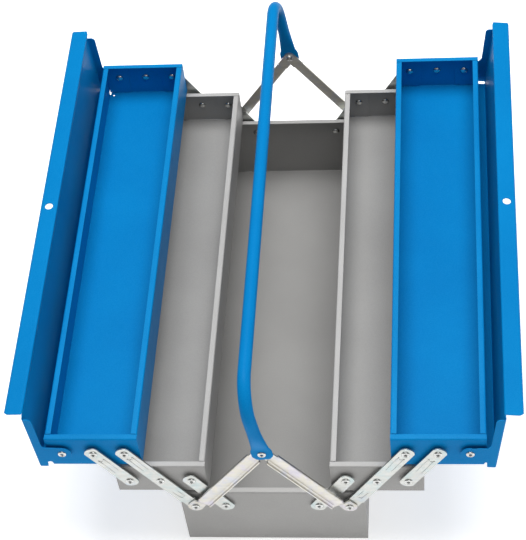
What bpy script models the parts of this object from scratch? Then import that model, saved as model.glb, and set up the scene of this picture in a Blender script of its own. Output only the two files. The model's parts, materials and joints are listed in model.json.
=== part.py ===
"""Five-compartment cantilever tool box, modelled open.

A base tray carries, on each side, a middle tray and an upper tray on parallel links.  A hinged lid
closes each upper tray.  Two arms at each end form a fixed A-frame whose top holds the carrying handle.

Axes: +X to the right, +Y to the rear along the box, +Z up.  The origin is the centre of the base's
underside.  All lengths are in metres.
"""

import math

import bmesh
import bpy
from mathutils import Matrix, Vector

MM = 0.001

# Overall sizes
BOX_LENGTH = 548 * MM
BASE_WIDTH = 200 * MM
BASE_HEIGHT = 97 * MM
TRAY_HEIGHT = 48.5 * MM

# Sheet metal and clearances
SHEET = 1.0 * MM
RIM = 6.5 * MM  # width of the flat rim turned inwards round every tray
GAP = 0.3 * MM  # running clearance between touching pieces
CENTRE_GAP = 2 * MM  # from the middle plane to the inner wall of a closed middle tray
UPPER_PROUD = 1 * MM  # how far a closed upper tray stands out beyond the base
STACK_GAP = 3 * MM  # between two closed trays, one above the other

# Link geometry
RIM_ABOVE_PIVOT = 21.3 * MM  # from a row of pivots up to the rim of its tray
BASE_PIVOT_INSET = 16.4 * MM  # outer base pivot, in from the side wall
LID_PIVOT_INSET = 16.6 * MM  # lid pivot, in from the upper tray's outer wall
OPEN_ANGLE = math.radians(59)  # the open links, up from the horizontal
LINK_WIDTH = 16.5 * MM
LINK_END_RADIUS = 9.3 * MM  # round end about its pivot, a little wider than the link
LINK_SHEET = 1.5 * MM
LINK_LOW = 1.6 * MM  # from the base's end wall to a link's stepped-in end
LINK_HIGH = 3.2 * MM  # from a tray's end wall to the rest of the link
LINK_STEP = 2 * MM  # length of the step
LONG_LINK_STEP_AT = 13.5 * MM  # from the base pivot
INNER_LINK_STEP_AT = 33 * MM

# Arms of the A-frame
ARM_WIDTH = 13.5 * MM
ARM_FOOT_WIDTH = 16.5 * MM
ARM_SHEET = 1.3 * MM
ARM_WEB = 9.2 * MM  # from the end wall to the inner arm's web
ARM_STEP_START = 10 * MM  # along the arm from its foot rivet
ARM_STEP_END = 19 * MM
ARM_LIP_START = 21 * MM
ARM_LIP_END = 17 * MM  # back from the apex rivet
ARM_LOWER_LIP = 3.2 * MM  # turned outwards
ARM_UPPER_LIP = 2.4 * MM  # turned towards the box
APEX_BELOW_RIM = 3.7 * MM  # apex rivet, below the rim of a closed upper tray

# Carrying handle
HANDLE_REACH = 99 * MM  # from the apex rivets to the middle of the straight tube
HANDLE_BEND = 35.6 * MM
HANDLE_TUBE = 13.6 * MM
HANDLE_WALL = 1.0 * MM
HANDLE_EAR_SHEET = 2.5 * MM
HANDLE_EAR_WIDTH = 22.5 * MM
HANDLE_EAR_BELOW = 9.8 * MM  # from the rivet down to the end of the ear
HANDLE_TUBE_OFFSET = 16.1 * MM  # from the end wall to the middle of the handle's leg
HANDLE_LEAN = math.radians(6)

# Lids, measured from the lid's pivot with the lid closed
LID_RISE = 29 * MM  # up to the lid's top face
LID_OVERHANG = 6.5 * MM  # beyond the upper tray's outer wall
LID_STEP = 2.8 * MM  # the strip next to the flange slopes down to this
LID_LIP = 9.4 * MM  # side lip, turned down
LID_OPENING = {"left": math.radians(92), "right": math.radians(96)}  # the left one rests short of its stop
LID_END_OFFSET = 3.0 * MM  # from the tray's end wall to the lid's end flap
FLAP_DEPTH = 9.5 * MM
FLAP_REACH = 64.5 * MM  # from the pivot towards the free edge
FLAP_EAR_RADIUS = 10 * MM
FLAP_EAR_HEEL = 14.5 * MM  # width of the ear on the side away from the free edge
FLANGE_FROM_CENTRE = 8.4 * MM  # closed flange to the middle plane
FLANGE_HEIGHT = 14 * MM
FLANGE_HEM = 3 * MM  # free edge of the flange, bent away from the middle
FLANGE_CORNER = 5 * MM
FLANGE_END_OFFSET = 4.3 * MM
PADLOCK_HOLE = 9 * MM
SEAM = 0.05 * MM  # keeps the joined plates of a lid from sharing a face

# Rivets
RIVET_SHANK = 4.8 * MM
RIVET_HEAD = 9.0 * MM
RIVET_HEAD_HEIGHT = 1.4 * MM
RIVET_DOME_HEIGHT = 1.8 * MM
RIVET_BORE = 2.6 * MM
RIVET_BORE_DEPTH = 1.0 * MM
RIVET_SIDES = 10
HOLE_SIDES = 12

# Derived places, all on the right-hand side
END = BOX_LENGTH / 2
TRAY_WIDTH = BASE_WIDTH / 2 - CENTRE_GAP
LINK_RISE = TRAY_HEIGHT + STACK_GAP
BASE_PIVOT = Vector((BASE_WIDTH / 2 - BASE_PIVOT_INSET, BASE_HEIGHT - RIM_ABOVE_PIVOT))
CLOSED_SHIFT = BASE_PIVOT.x - (BASE_WIDTH / 2 - TRAY_WIDTH / 2)
LINK_REACH = math.hypot(LINK_RISE, CLOSED_SHIFT)
LINK_VECTOR = LINK_REACH * Vector((math.cos(OPEN_ANGLE), math.sin(OPEN_ANGLE)))
MIDDLE_PIVOT = BASE_PIVOT + LINK_VECTOR
UPPER_PIVOT = MIDDLE_PIVOT + LINK_VECTOR
CLOSED_UPPER_PIVOT_X = BASE_PIVOT.x - 2 * CLOSED_SHIFT
UPPER_PIVOT_INSET = CLOSED_UPPER_PIVOT_X - CENTRE_GAP - UPPER_PROUD
PIVOT_PITCH = (TRAY_WIDTH - UPPER_PIVOT_INSET - LID_PIVOT_INSET) / 2  # three pivots, evenly spaced
PITCH_VECTOR = Vector((PIVOT_PITCH, 0))
LID_PIVOT = UPPER_PIVOT + 2 * PITCH_VECTOR
CLOSED_LID_PIVOT_X = LID_PIVOT.x - UPPER_PIVOT.x + CLOSED_UPPER_PIVOT_X
APEX = Vector((0, BASE_HEIGHT + 2 * LINK_RISE - APEX_BELOW_RIM))
HOLE = RIVET_SHANK + 2 * GAP

ARM_FOOT = LINK_LOW + LINK_SHEET + GAP
ARM_STACK = ARM_SHEET + GAP  # the right arms lie outside the left ones where they meet
HANDLE_EAR = ARM_WEB + ARM_STACK + ARM_SHEET + GAP

LEFT, RIGHT = -1, 1
FRONT, REAR = -1, 1
SIDES = {"left": LEFT, "right": RIGHT}
ENDS = {"front": FRONT, "rear": REAR}


def clear_scene():
    for item in list(bpy.data.objects):
        bpy.data.objects.remove(item, do_unlink=True)


def make_material(name, colour, roughness, metallic):
    material = bpy.data.materials.new(name)
    material.use_nodes = True
    shader = material.node_tree.nodes["Principled BSDF"]
    shader.inputs["Base Color"].default_value = (*colour, 1)
    shader.inputs["Roughness"].default_value = roughness
    shader.inputs["Metallic"].default_value = metallic
    return material


# Places -----------------------------------------------------------------------------------------


def across(side, place):
    """A right-hand (x, z) place, carried to its side of the box."""
    return Vector((side * place.x, place.y))


def world(place, y=0.0):
    return Vector((place.x, y, place.y))


# Mesh building ----------------------------------------------------------------------------------


def finish_mesh(bm, name, smooth=False):
    bmesh.ops.recalc_face_normals(bm, faces=bm.faces)
    mesh = bpy.data.meshes.new(name)
    bm.to_mesh(mesh)
    bm.free()
    if smooth:
        mesh.shade_smooth()
        mesh.set_sharp_from_angle(angle=math.radians(40))
    return mesh


def add_object(name, mesh, material, location=(0, 0, 0), turn=0.0, parent=None):
    """An object turned about Y; its origin is on its joint's axis when it moves."""
    item = bpy.data.objects.new(name, mesh)
    if material and not mesh.materials:
        mesh.materials.append(material)
    item.location = Vector(location) - (parent.location if parent else Vector())
    item.rotation_euler = (0, turn, 0)
    item.parent = parent
    bpy.context.scene.collection.objects.link(item)
    return item


def loft(rings, loop=False):
    """Bridges rings of equally many points; the ends are capped, or joined when it is a loop."""
    bm = bmesh.new()
    levels = [[bm.verts.new(point) for point in ring] for ring in rings]
    pairs = list(zip(levels, levels[1:]))
    if loop:
        pairs.append((levels[-1], levels[0]))
    else:
        bm.faces.new(levels[0])
        bm.faces.new(list(reversed(levels[-1])))
    for lower, upper in pairs:
        for i in range(len(lower)):
            j = (i + 1) % len(lower)
            bm.faces.new((lower[j], lower[i], upper[i], upper[j]))
    return bm


def arc(centre, radius, start, stop, steps):
    """Points on an arc; the angles are in degrees."""
    angles = [math.radians(start + (stop - start) * i / steps) for i in range(steps + 1)]
    return [Vector((centre[0] + radius * math.cos(a), centre[1] + radius * math.sin(a))) for a in angles]


def circle(centre, across_flats, sides=HOLE_SIDES):
    """A polygon whose flats stand across_flats apart, so that a round pin of that size fits in it."""
    radius = across_flats / 2 / math.cos(math.pi / sides)
    return arc(centre, radius, 0, 360 - 360 / sides, sides - 1)


def plate(outline, holes, near, far):
    """A flat plate between y = near and y = far, with an (x, z) outline and holes."""
    bm = bmesh.new()
    edges = []
    for loop in [outline, *holes]:
        verts = [bm.verts.new((point[0], near, point[1])) for point in loop]
        edges += [bm.edges.new((a, b)) for a, b in zip(verts, verts[1:] + verts[:1])]
    filled = bmesh.ops.triangle_fill(bm, edges=edges, use_beauty=True, use_dissolve=False)
    faces = [part for part in filled["geom"] if isinstance(part, bmesh.types.BMFace)]
    grown = bmesh.ops.extrude_face_region(bm, geom=faces, use_keep_orig=True)
    moved = [part for part in grown["geom"] if isinstance(part, bmesh.types.BMVert)]
    bmesh.ops.translate(bm, verts=moved, vec=(0, far - near, 0))
    return bm


def slice_at(bm, point, normal):
    bmesh.ops.bisect_plane(bm, geom=bm.verts[:] + bm.edges[:] + bm.faces[:], dist=1e-7,
                           plane_co=point, plane_no=normal)


def step_plate(bm, start, stop, rise):
    """Bends a plate along local X: flat up to start, then up by rise until stop, then flat."""
    for x in (start, stop):
        slice_at(bm, (x, 0, 0), (1, 0, 0))
    for vert in bm.verts:
        share = min(max((vert.co.x - start) / (stop - start), 0), 1)
        vert.co.y += rise * share


def raise_strip(bm, face_y, low, high, height):
    """Turns a lip off a plate: raises the part of its face at face_y between two (x, z) corners."""
    for corner in (low, high):
        slice_at(bm, (corner[0], 0, 0), (1, 0, 0))
        slice_at(bm, (0, 0, corner[1]), (0, 0, 1))
    margin = 0.05 * MM
    chosen = []
    for face in bm.faces:
        centre = face.calc_center_median()
        on_face = all(abs(vert.co.y - face_y) < margin for vert in face.verts)
        inside = low[0] < centre.x < high[0] and low[1] < centre.z < high[1]
        if on_face and inside:
            chosen.append(face)
    grown = bmesh.ops.extrude_face_region(bm, geom=chosen)
    moved = [part for part in grown["geom"] if isinstance(part, bmesh.types.BMVert)]
    bmesh.ops.delete(bm, geom=chosen, context="FACES")
    for vert in moved:  # the lip's two ends slope
        if abs(vert.co.x - low[0]) < margin:
            vert.co.x += abs(height)
        elif abs(vert.co.x - high[0]) < margin:
            vert.co.x -= abs(height)
        vert.co.y += height


def turned(profile, sides=RIVET_SIDES):
    """A solid of revolution about Y from (radius, y) points; the first and last are on the axis."""
    bm = bmesh.new()
    tip, tail = (bm.verts.new((0, profile[i][1], 0)) for i in (0, -1))
    rings = []
    for radius, y in profile[1:-1]:
        angles = [math.tau * i / sides for i in range(sides)]
        rings.append([bm.verts.new((radius * math.cos(a), y, radius * math.sin(a))) for a in angles])
    for i in range(sides):
        j = (i + 1) % sides
        bm.faces.new((tip, rings[0][i], rings[0][j]))
        bm.faces.new((tail, rings[-1][j], rings[-1][i]))
        for lower, upper in zip(rings, rings[1:]):
            bm.faces.new((lower[i], upper[i], upper[j], lower[j]))
    return bm


def rod(bm, start, stop, across_flats):
    """Adds a round cutter from one point to another."""
    start, stop = Vector(start), Vector(stop)
    axis = stop - start
    turn = axis.to_track_quat("Z", "Y").to_matrix().to_4x4()
    radius = across_flats / 2 / math.cos(math.pi / HOLE_SIDES)
    bmesh.ops.create_cone(bm, cap_ends=True, segments=HOLE_SIDES, radius1=radius, radius2=radius,
                          depth=axis.length, matrix=Matrix.Translation((start + stop) / 2) @ turn)


def combine(item, bm, operation):
    """Adds a Boolean with a hidden helper that shares the item's place."""
    helper = add_object(f"{item.name}_{operation.lower()}", finish_mesh(bm, item.name), None,
                        item.matrix_basis.translation, item.rotation_euler.y)
    helper.hide_render = True
    helper.display_type = "WIRE"
    modifier = item.modifiers.new(operation.capitalize(), "BOOLEAN")
    modifier.operation = operation
    modifier.object = helper
    modifier.solver = "EXACT"


def pierce(item, places, reach):
    """Rivet holes through both end walls, at (x, z) places from the item's origin."""
    cutter = bmesh.new()
    for place in places:
        rod(cutter, (place[0], -reach, place[1]), (place[0], reach, place[1]), HOLE)
    combine(item, cutter, "DIFFERENCE")


# Trays ------------------------------------------------------------------------------------------


def tray_mesh(name, left, right, bottom, top):
    """An open tray of sheet with a flat rim turned inwards, as one closed skin."""

    def ring(inset, z):
        x0, x1, y = left + inset, right - inset, END - inset
        return [(x0, -y, z), (x1, -y, z), (x1, y, z), (x0, y, z)]

    levels = [(0, bottom), (0, top), (RIM, top), (RIM, top - SHEET), (SHEET, top - SHEET),
              (SHEET, bottom + SHEET)]
    return finish_mesh(loft([ring(inset, z) for inset, z in levels]), name)


def add_tray(name, side, pivot, inner, holes, material):
    """A middle or upper tray; inner is the distance from its pivot to its inner wall."""
    edges = sorted((-side * inner, side * (TRAY_WIDTH - inner)))
    bottom = RIM_ABOVE_PIVOT - TRAY_HEIGHT
    mesh = tray_mesh(name, *edges, bottom, RIM_ABOVE_PIVOT)
    tray = add_object(name, mesh, material, world(across(side, pivot)))
    pierce(tray, [across(side, hole - pivot) for hole in holes], END + RIM)
    return tray


# Rivets -----------------------------------------------------------------------------------------


def rivet_mesh(inner, outer):
    """A tubular rivet between the offsets inner and outer: a dome inside, a rolled ring outside."""
    shank, head, bore = RIVET_SHANK / 2, RIVET_HEAD / 2, RIVET_BORE / 2
    seat, crown = inner - GAP, outer + GAP
    top = crown + RIVET_HEAD_HEIGHT
    profile = [
        (0, seat - RIVET_DOME_HEIGHT),
        (head * 0.6, seat - RIVET_DOME_HEIGHT * 0.8),
        (head, seat),
        (shank, seat),
        (shank, crown),
        (head, crown),
        (head * 0.72, top),
        (bore, top),
        (0, top - RIVET_BORE_DEPTH),
    ]
    return turned(profile)


def add_rivet(name, place, end, inner, outer, material, parent):
    """A rivet through a stack of sheets whose faces stand between two offsets from the end wall."""
    bm = rivet_mesh(inner, outer)
    bmesh.ops.scale(bm, verts=bm.verts, vec=(1, end, 1))
    mesh = finish_mesh(bm, name, smooth=True)
    return add_object(name, mesh, material, world(place, end * END), parent=parent)


# Links ------------------------------------------------------------------------------------------


def link_mesh(name, pivots, end, inner, step=None):
    """A round-ended strip along local X with a hole at each pivot.

    inner is the offset of its inner face; step is where it steps out from LINK_LOW to LINK_HIGH.
    """
    turn = math.degrees(math.asin(LINK_WIDTH / 2 / LINK_END_RADIUS))
    outline = arc((pivots[-1], 0), LINK_END_RADIUS, -turn, turn, 8)
    outline += arc((pivots[0], 0), LINK_END_RADIUS, 180 - turn, 180 + turn, 8)
    bm = plate(outline, [circle((x, 0), HOLE) for x in pivots], inner, inner + LINK_SHEET)
    if step is not None:
        step_plate(bm, step, step + LINK_STEP, LINK_HIGH - LINK_LOW)
    bmesh.ops.scale(bm, verts=bm.verts, vec=(1, end, 1))
    return finish_mesh(bm, name)


def add_link(name, side, end, pivot, pivots, material, inner=LINK_HIGH, step=None):
    """A link whose origin is its lowest pivot; it leans outwards at the open angle."""
    turn = -OPEN_ANGLE if side == RIGHT else OPEN_ANGLE - math.pi
    mesh = link_mesh(name, pivots, end, inner, step)
    return add_object(name, mesh, material, world(across(side, pivot), end * END), turn)


# Arms -------------------------------------------------------------------------------------------


def arm_outline(length):
    """A strip with a round foot at x = 0 and a round head at x = length."""
    foot, half = ARM_FOOT_WIDTH / 2, ARM_WIDTH / 2
    head = arc((length, 0), half, -90, 90, 6)
    return head + [(ARM_STEP_END, half), (ARM_STEP_START, foot)] + arc((0, 0), foot, 90, 270, 8) + [
        (ARM_STEP_START, -foot), (ARM_STEP_END, -half)]


def add_arm(name, side, end, material):
    """An arm from the outer base pivot to the apex; +Z of its own frame is its upper edge."""
    run = APEX - BASE_PIVOT
    half = ARM_WIDTH / 2
    web = ARM_WEB + (ARM_STACK if side == RIGHT else 0)
    holes = [circle((0, 0), HOLE), circle((run.length, 0), HOLE)]
    bm = plate(arm_outline(run.length), holes, ARM_FOOT, ARM_FOOT + ARM_SHEET)
    step_plate(bm, ARM_STEP_START, ARM_STEP_END, web - ARM_FOOT)
    lip_stop = run.length - ARM_LIP_END
    raise_strip(bm, web + ARM_SHEET, (ARM_LIP_START, -half), (lip_stop, ARM_SHEET - half), ARM_LOWER_LIP)
    raise_strip(bm, web, (ARM_LIP_START, half - ARM_SHEET), (lip_stop, half), -ARM_UPPER_LIP)
    # Local X points up the arm.  The right arm runs up to the left, so its Z is flipped.
    bmesh.ops.scale(bm, verts=bm.verts, vec=(1, end, -side))
    turn = -math.atan2(run.y, side * run.x)
    mesh = finish_mesh(bm, name)
    return add_object(name, mesh, material, world(across(side, BASE_PIVOT), end * END), turn)


# Lids -------------------------------------------------------------------------------------------


def bent_sheet(path):
    """The outline of a sheet that follows a path of points; its other face is SHEET to the right."""
    path = [Vector(point) for point in path]
    other = []
    for i, point in enumerate(path):
        before = (point - path[i - 1]).normalized() if i else None
        after = (path[i + 1] - point).normalized() if i + 1 < len(path) else None
        first, last = before or after, after or before
        normals = [Vector((direction.y, -direction.x)) for direction in (first, last)]
        offset = (normals[0] + normals[1]).normalized()
        other.append(point + offset * SHEET / offset.dot(normals[0]))
    return path + list(reversed(other))


def flap_outline(outer):
    """An end flap with its ear round the pivot at (0, 0); outer is the x of the side lip."""
    top = LID_RISE - SHEET / 2
    low = LID_RISE - FLAP_DEPTH
    corner = 5 * MM
    tip = -FLAP_REACH
    ear = arc((0, 0), FLAP_EAR_RADIUS, 0, -180, 8)
    return [
        (outer - SEAM, top), (outer - SEAM, low), (FLAP_EAR_HEEL, low - 1 * MM), *ear,
        (-FLAP_EAR_RADIUS - 1 * MM, low - corner),
        *arc((-FLAP_EAR_RADIUS - 1 * MM - corner, low - corner), corner, 30, 90, 3),
        *arc((tip + corner, low + corner), corner, 270, 180, 3), (tip, top),
    ]


def flange_mesh(free_edge):
    """The upstanding flange with its bent free edge and rounded corners, in the closed lid's frame."""
    top = LID_RISE + FLANGE_HEIGHT
    hem = FLANGE_HEM
    path = [(free_edge + hem, top + hem * 0.6), (free_edge + hem * 0.4, top + hem * 0.4),
            (free_edge, top - hem * 0.4), (free_edge, LID_RISE - LID_STEP - SHEET / 2)]
    reach = END + FLANGE_END_OFFSET
    bm = plate(bent_sheet(list(reversed(path))), [], -reach, reach)
    for end in (FRONT, REAR):
        for share, inset in ((1.0, 0.35), (0.0, 0.0)):
            slice_at(bm, (0, end * (reach - FLANGE_CORNER * (1 - share * inset)), 0), (0, 1, 0))
    limit = top + hem * 0.6
    for vert in bm.verts:
        past = (abs(vert.co.y) - (reach - FLANGE_CORNER)) / FLANGE_CORNER
        above = (vert.co.z - (limit - FLANGE_CORNER)) / FLANGE_CORNER
        if past > 0 and above > 0:
            scale = math.hypot(past, above) / max(past, above)
            vert.co.y = math.copysign(reach - FLANGE_CORNER * (1 - past / scale), vert.co.y)
            vert.co.z = limit - FLANGE_CORNER * (1 - above / scale)
    return bm


def add_lid(name, side, opening, material):
    """A lid modelled closed about its pivot, then turned open."""
    outer = LID_PIVOT_INSET + LID_OVERHANG
    free_edge = FLANGE_FROM_CENTRE - CLOSED_LID_PIVOT_X
    end_face = END + LID_END_OFFSET + SHEET
    path = [(free_edge + SEAM, LID_RISE - LID_STEP), (-FLAP_REACH, LID_RISE), (outer, LID_RISE),
            (outer, LID_RISE - LID_LIP)]
    panel = plate(bent_sheet(path), [], -end_face, end_face)

    extras = flange_mesh(free_edge)
    for end in (FRONT, REAR):
        near = end * (end_face - SEAM)
        flap = plate(flap_outline(outer), [], near, near - end * SHEET)
        spare = finish_mesh(flap, "flap")
        extras.from_mesh(spare)
        bpy.data.meshes.remove(spare)
    padlock = LID_RISE + FLANGE_HEIGHT * 0.45
    cutter = bmesh.new()
    rod(cutter, (0, -end_face - RIM, 0), (0, end_face + RIM, 0), HOLE)
    rod(cutter, (free_edge - RIM, 0, padlock), (free_edge + RIM, 0, padlock), PADLOCK_HOLE)

    for bm in (panel, extras, cutter):
        bmesh.ops.scale(bm, verts=bm.verts, vec=(side, 1, 1))
    pivot = world(across(side, LID_PIVOT))
    lid = add_object(name, finish_mesh(panel, name), material, pivot, side * opening)
    combine(lid, extras, "UNION")
    combine(lid, cutter, "DIFFERENCE")
    return lid


# Handle -----------------------------------------------------------------------------------------


def tube_section(centre, along, half_width, half_depth, squareness, sides=12):
    """A ring of points round a centre; squareness is 1 for an ellipse and less for a flat section."""
    depth = Vector((0, along.z, -along.y))
    points = []
    for i in range(sides):
        angle = math.tau * (i + 0.5) / sides
        c, s = math.cos(angle), math.sin(angle)
        x = half_width * math.copysign(abs(c) ** squareness, c)
        d = half_depth * math.copysign(abs(s) ** squareness, s)
        points.append(centre + Vector((x, 0, 0)) + depth * d)
    return points


def handle_stations():
    """Front half of the handle: (centre, direction, half width, half depth, squareness)."""
    tube, ear = HANDLE_TUBE / 2, HANDLE_EAR_WIDTH / 2
    flat = HANDLE_EAR_SHEET / 2
    ear_offset = HANDLE_EAR + flat
    below = HANDLE_EAR_BELOW
    up = Vector((0, 0, 1))
    rows = [  # height above the rivet, half width, half depth, squareness, share of the way to the leg
        (-below, 0.5 * ear, flat, 0.5, 0),
        (-0.8 * below, 0.8 * ear, flat, 0.5, 0),
        (-0.35 * below, ear, flat, 0.5, 0),
        (0.8 * below, ear, flat, 0.5, 0),
        (1.4 * below, 0.93 * ear, 1.3 * flat, 0.55, 0.05),
        (2.4 * below, 0.78 * ear, 3 * flat, 0.75, 0.45),
        (3.5 * below, 0.66 * ear, 0.82 * tube, 0.92, 0.85),
        (4.6 * below, tube, tube, 1, 1),
    ]
    stations = []
    for height, width, depth, squareness, share in rows:
        offset = ear_offset + (HANDLE_TUBE_OFFSET - ear_offset) * share
        stations.append((Vector((0, -END - offset, height)), up, width, depth, squareness))
    leg_y = -END - HANDLE_TUBE_OFFSET
    centre = Vector((0, leg_y + HANDLE_BEND, HANDLE_REACH - HANDLE_BEND))
    steps = 6
    for i in range(steps + 1):
        angle = math.pi / 2 * i / steps
        reach = Vector((0, -math.cos(angle), math.sin(angle)))
        along = Vector((0, math.sin(angle), math.cos(angle)))
        stations.append((centre + reach * HANDLE_BEND, along, tube, tube, 1))
    return stations


def add_handle(material):
    """A bent tube with flattened ears; its bore stays open at the ears' ends."""
    front = handle_stations()
    flip = Matrix.Scale(-1, 3, Vector((0, 1, 0)))
    rear = [(flip @ centre, flip @ -along, *rest) for centre, along, *rest in reversed(front)]
    outer = [tube_section(*station) for station in front + rear]
    inner = [
        tube_section(centre, along, width - HANDLE_WALL, depth - HANDLE_WALL, squareness)
        for centre, along, width, depth, squareness in front + rear
    ]
    mesh = finish_mesh(loft(outer + list(reversed(inner)), loop=True), "handle", smooth=True)
    handle = add_object("handle", mesh, material, world(APEX), -HANDLE_LEAN)
    pierce(handle, [(0, 0)], END + 2 * HANDLE_TUBE_OFFSET)
    return handle


# Assembly ---------------------------------------------------------------------------------------


def build_side(label, side, paint, grey, zinc, steel, base):
    """The trays, lid, links and rivets of one side."""
    upper_holes = [UPPER_PIVOT, UPPER_PIVOT + PITCH_VECTOR, LID_PIVOT]
    middle_holes = [MIDDLE_PIVOT - PITCH_VECTOR, MIDDLE_PIVOT, MIDDLE_PIVOT + PITCH_VECTOR]
    middle = add_tray(f"{label}_middle_tray", side, MIDDLE_PIVOT, TRAY_WIDTH / 2, middle_holes, grey)
    upper = add_tray(f"{label}_upper_tray", side, UPPER_PIVOT, UPPER_PIVOT_INSET, upper_holes, paint)
    add_lid(f"{label}_lid", side, LID_OPENING[label], paint)

    high = LINK_HIGH + LINK_SHEET
    low = LINK_LOW + LINK_SHEET
    rivets = [
        ("base_outer_rivet", BASE_PIVOT, ARM_FOOT + ARM_SHEET, base),
        ("base_inner_rivet", BASE_PIVOT - PITCH_VECTOR, low, base),
        ("middle_inner_rivet", middle_holes[0], high, middle),
        ("middle_centre_rivet", middle_holes[1], high, middle),
        ("middle_outer_rivet", middle_holes[2], high, middle),
        ("upper_inner_rivet", upper_holes[0], high, upper),
        ("upper_centre_rivet", upper_holes[1], high, upper),
        ("lid_rivet", LID_PIVOT, LID_END_OFFSET + SHEET, upper),
    ]
    for where, end in ENDS.items():
        start = f"{where}_{label}"
        add_link(f"{start}_long_link", side, end, BASE_PIVOT, [0, LINK_REACH, 2 * LINK_REACH], zinc,
                 LINK_LOW, LONG_LINK_STEP_AT)
        add_link(f"{start}_inner_link", side, end, BASE_PIVOT - PITCH_VECTOR, [0, LINK_REACH], zinc,
                 LINK_LOW, INNER_LINK_STEP_AT)
        add_link(f"{start}_outer_link", side, end, MIDDLE_PIVOT + PITCH_VECTOR, [0, LINK_REACH], zinc)
        add_arm(f"{start}_arm", side, end, zinc)
        for name, place, outer, carrier in rivets:
            add_rivet(f"{start}_{name}", across(side, place), end, -SHEET, outer, steel, carrier)


def main():
    clear_scene()
    paint = make_material("blue_paint", (0.01, 0.20, 0.60), 0.35, 0.0)
    grey = make_material("grey_paint", (0.36, 0.36, 0.36), 0.45, 0.0)
    zinc = make_material("zinc_plate", (0.72, 0.75, 0.75), 0.35, 0.9)
    steel = make_material("rivet_steel", (0.70, 0.70, 0.70), 0.25, 1.0)

    half = BASE_WIDTH / 2
    base = add_object("base", tray_mesh("base", -half, half, 0, BASE_HEIGHT), grey)
    base_holes = [across(side, place) for side in SIDES.values()
                  for place in (BASE_PIVOT, BASE_PIVOT - PITCH_VECTOR)]
    pierce(base, base_holes, END + RIM)
    for label, side in SIDES.items():
        build_side(label, side, paint, grey, zinc, steel, base)
    add_handle(paint)
    for where, end in ENDS.items():
        add_rivet(f"{where}_handle_rivet", APEX, end, ARM_WEB, HANDLE_EAR + HANDLE_EAR_SHEET, steel, base)


main()
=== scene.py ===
import json
import math

import bmesh
import bpy
from mathutils import Matrix, Vector


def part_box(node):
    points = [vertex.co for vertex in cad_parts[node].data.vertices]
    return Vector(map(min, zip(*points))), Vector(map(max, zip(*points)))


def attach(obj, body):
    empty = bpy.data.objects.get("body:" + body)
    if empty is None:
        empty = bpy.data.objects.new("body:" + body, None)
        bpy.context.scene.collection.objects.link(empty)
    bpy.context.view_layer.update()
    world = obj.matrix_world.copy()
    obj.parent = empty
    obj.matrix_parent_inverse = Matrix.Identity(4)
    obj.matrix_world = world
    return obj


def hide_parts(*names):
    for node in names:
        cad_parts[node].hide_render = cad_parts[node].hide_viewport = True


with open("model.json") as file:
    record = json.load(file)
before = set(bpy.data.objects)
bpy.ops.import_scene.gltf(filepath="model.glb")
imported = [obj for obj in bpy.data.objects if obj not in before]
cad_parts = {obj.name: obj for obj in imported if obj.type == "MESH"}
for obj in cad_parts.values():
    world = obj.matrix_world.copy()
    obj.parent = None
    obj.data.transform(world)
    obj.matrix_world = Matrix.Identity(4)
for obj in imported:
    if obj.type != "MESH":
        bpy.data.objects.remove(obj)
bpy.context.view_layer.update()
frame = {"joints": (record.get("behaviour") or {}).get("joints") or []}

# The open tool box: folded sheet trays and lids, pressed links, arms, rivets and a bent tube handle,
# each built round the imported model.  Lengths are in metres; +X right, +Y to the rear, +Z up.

MM = 0.001

SHEET = 1.0 * MM
SHEET_EDGE = 0.25 * MM  # rounding of cut sheet
RIM = 6.5 * MM
FOLD = 1.6 * MM  # radius of a folded edge, to the middle of the sheet
LONG_FLAT = 20 * MM  # a flat stretch longer than this is split into FLAT_PARTS
FLAT_PARTS = 12
RIM_SLIT = 0.7 * MM  # between a side rim and the end rim it meets
WALL_GAP = 0.1 * MM  # between a side wall and the end wall or tab beside it
END_TURN = 2.5 * MM  # how far an end wall turns in at the floor
RELIEF_WIDTH = 2.5 * MM
RELIEF_LENGTH = 5 * MM
RELIEF_HEIGHT = 7.5 * MM
TAB_WIDTH = 28 * MM
TAB_SHEET = 0.8 * MM
TAB_GAP = 0.05 * MM
TAB_TAPER = 1.5 * MM
TAB_EDGE = 0.15 * MM
DRAIN_HOLE = 2.6 * MM
DRAIN_INSET = 6 * MM

DRILL_LENGTH = 8 * MM

LINK_SHEET = 1.5 * MM
LINK_EDGE = 0.3 * MM
LINK_WIDTH = 16.5 * MM
LINK_END_RADIUS = 9.3 * MM
LINK_LOW = 1.6 * MM  # from the end wall to the inner face of a link's foot
LINK_HIGH = 3.2 * MM  # and to that of its head
LONG_LINK_STEP_AT = 13.5 * MM
INNER_LINK_STEP_AT = 33 * MM
LINK_STEP = 2.2 * MM  # length of the joggle between the two levels
BEAD_HEIGHT = 0.5 * MM
BEAD_WIDTH = 1.6 * MM
BEAD_ROOT = 0.3 * MM  # how deep a bead reaches into its strip
BEAD_TIP_SCALE = 0.35
HEAD_BEAD = (12 * MM, 36 * MM, 6.5 * MM)  # a long link's: start and stop before the head, width
FOOT_BEAD = (22 * MM, 36 * MM, 6 * MM)  # start and stop after the foot, width
OUTER_LINK_BEAD = (16 * MM, 40 * MM, 6.5 * MM)

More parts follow.
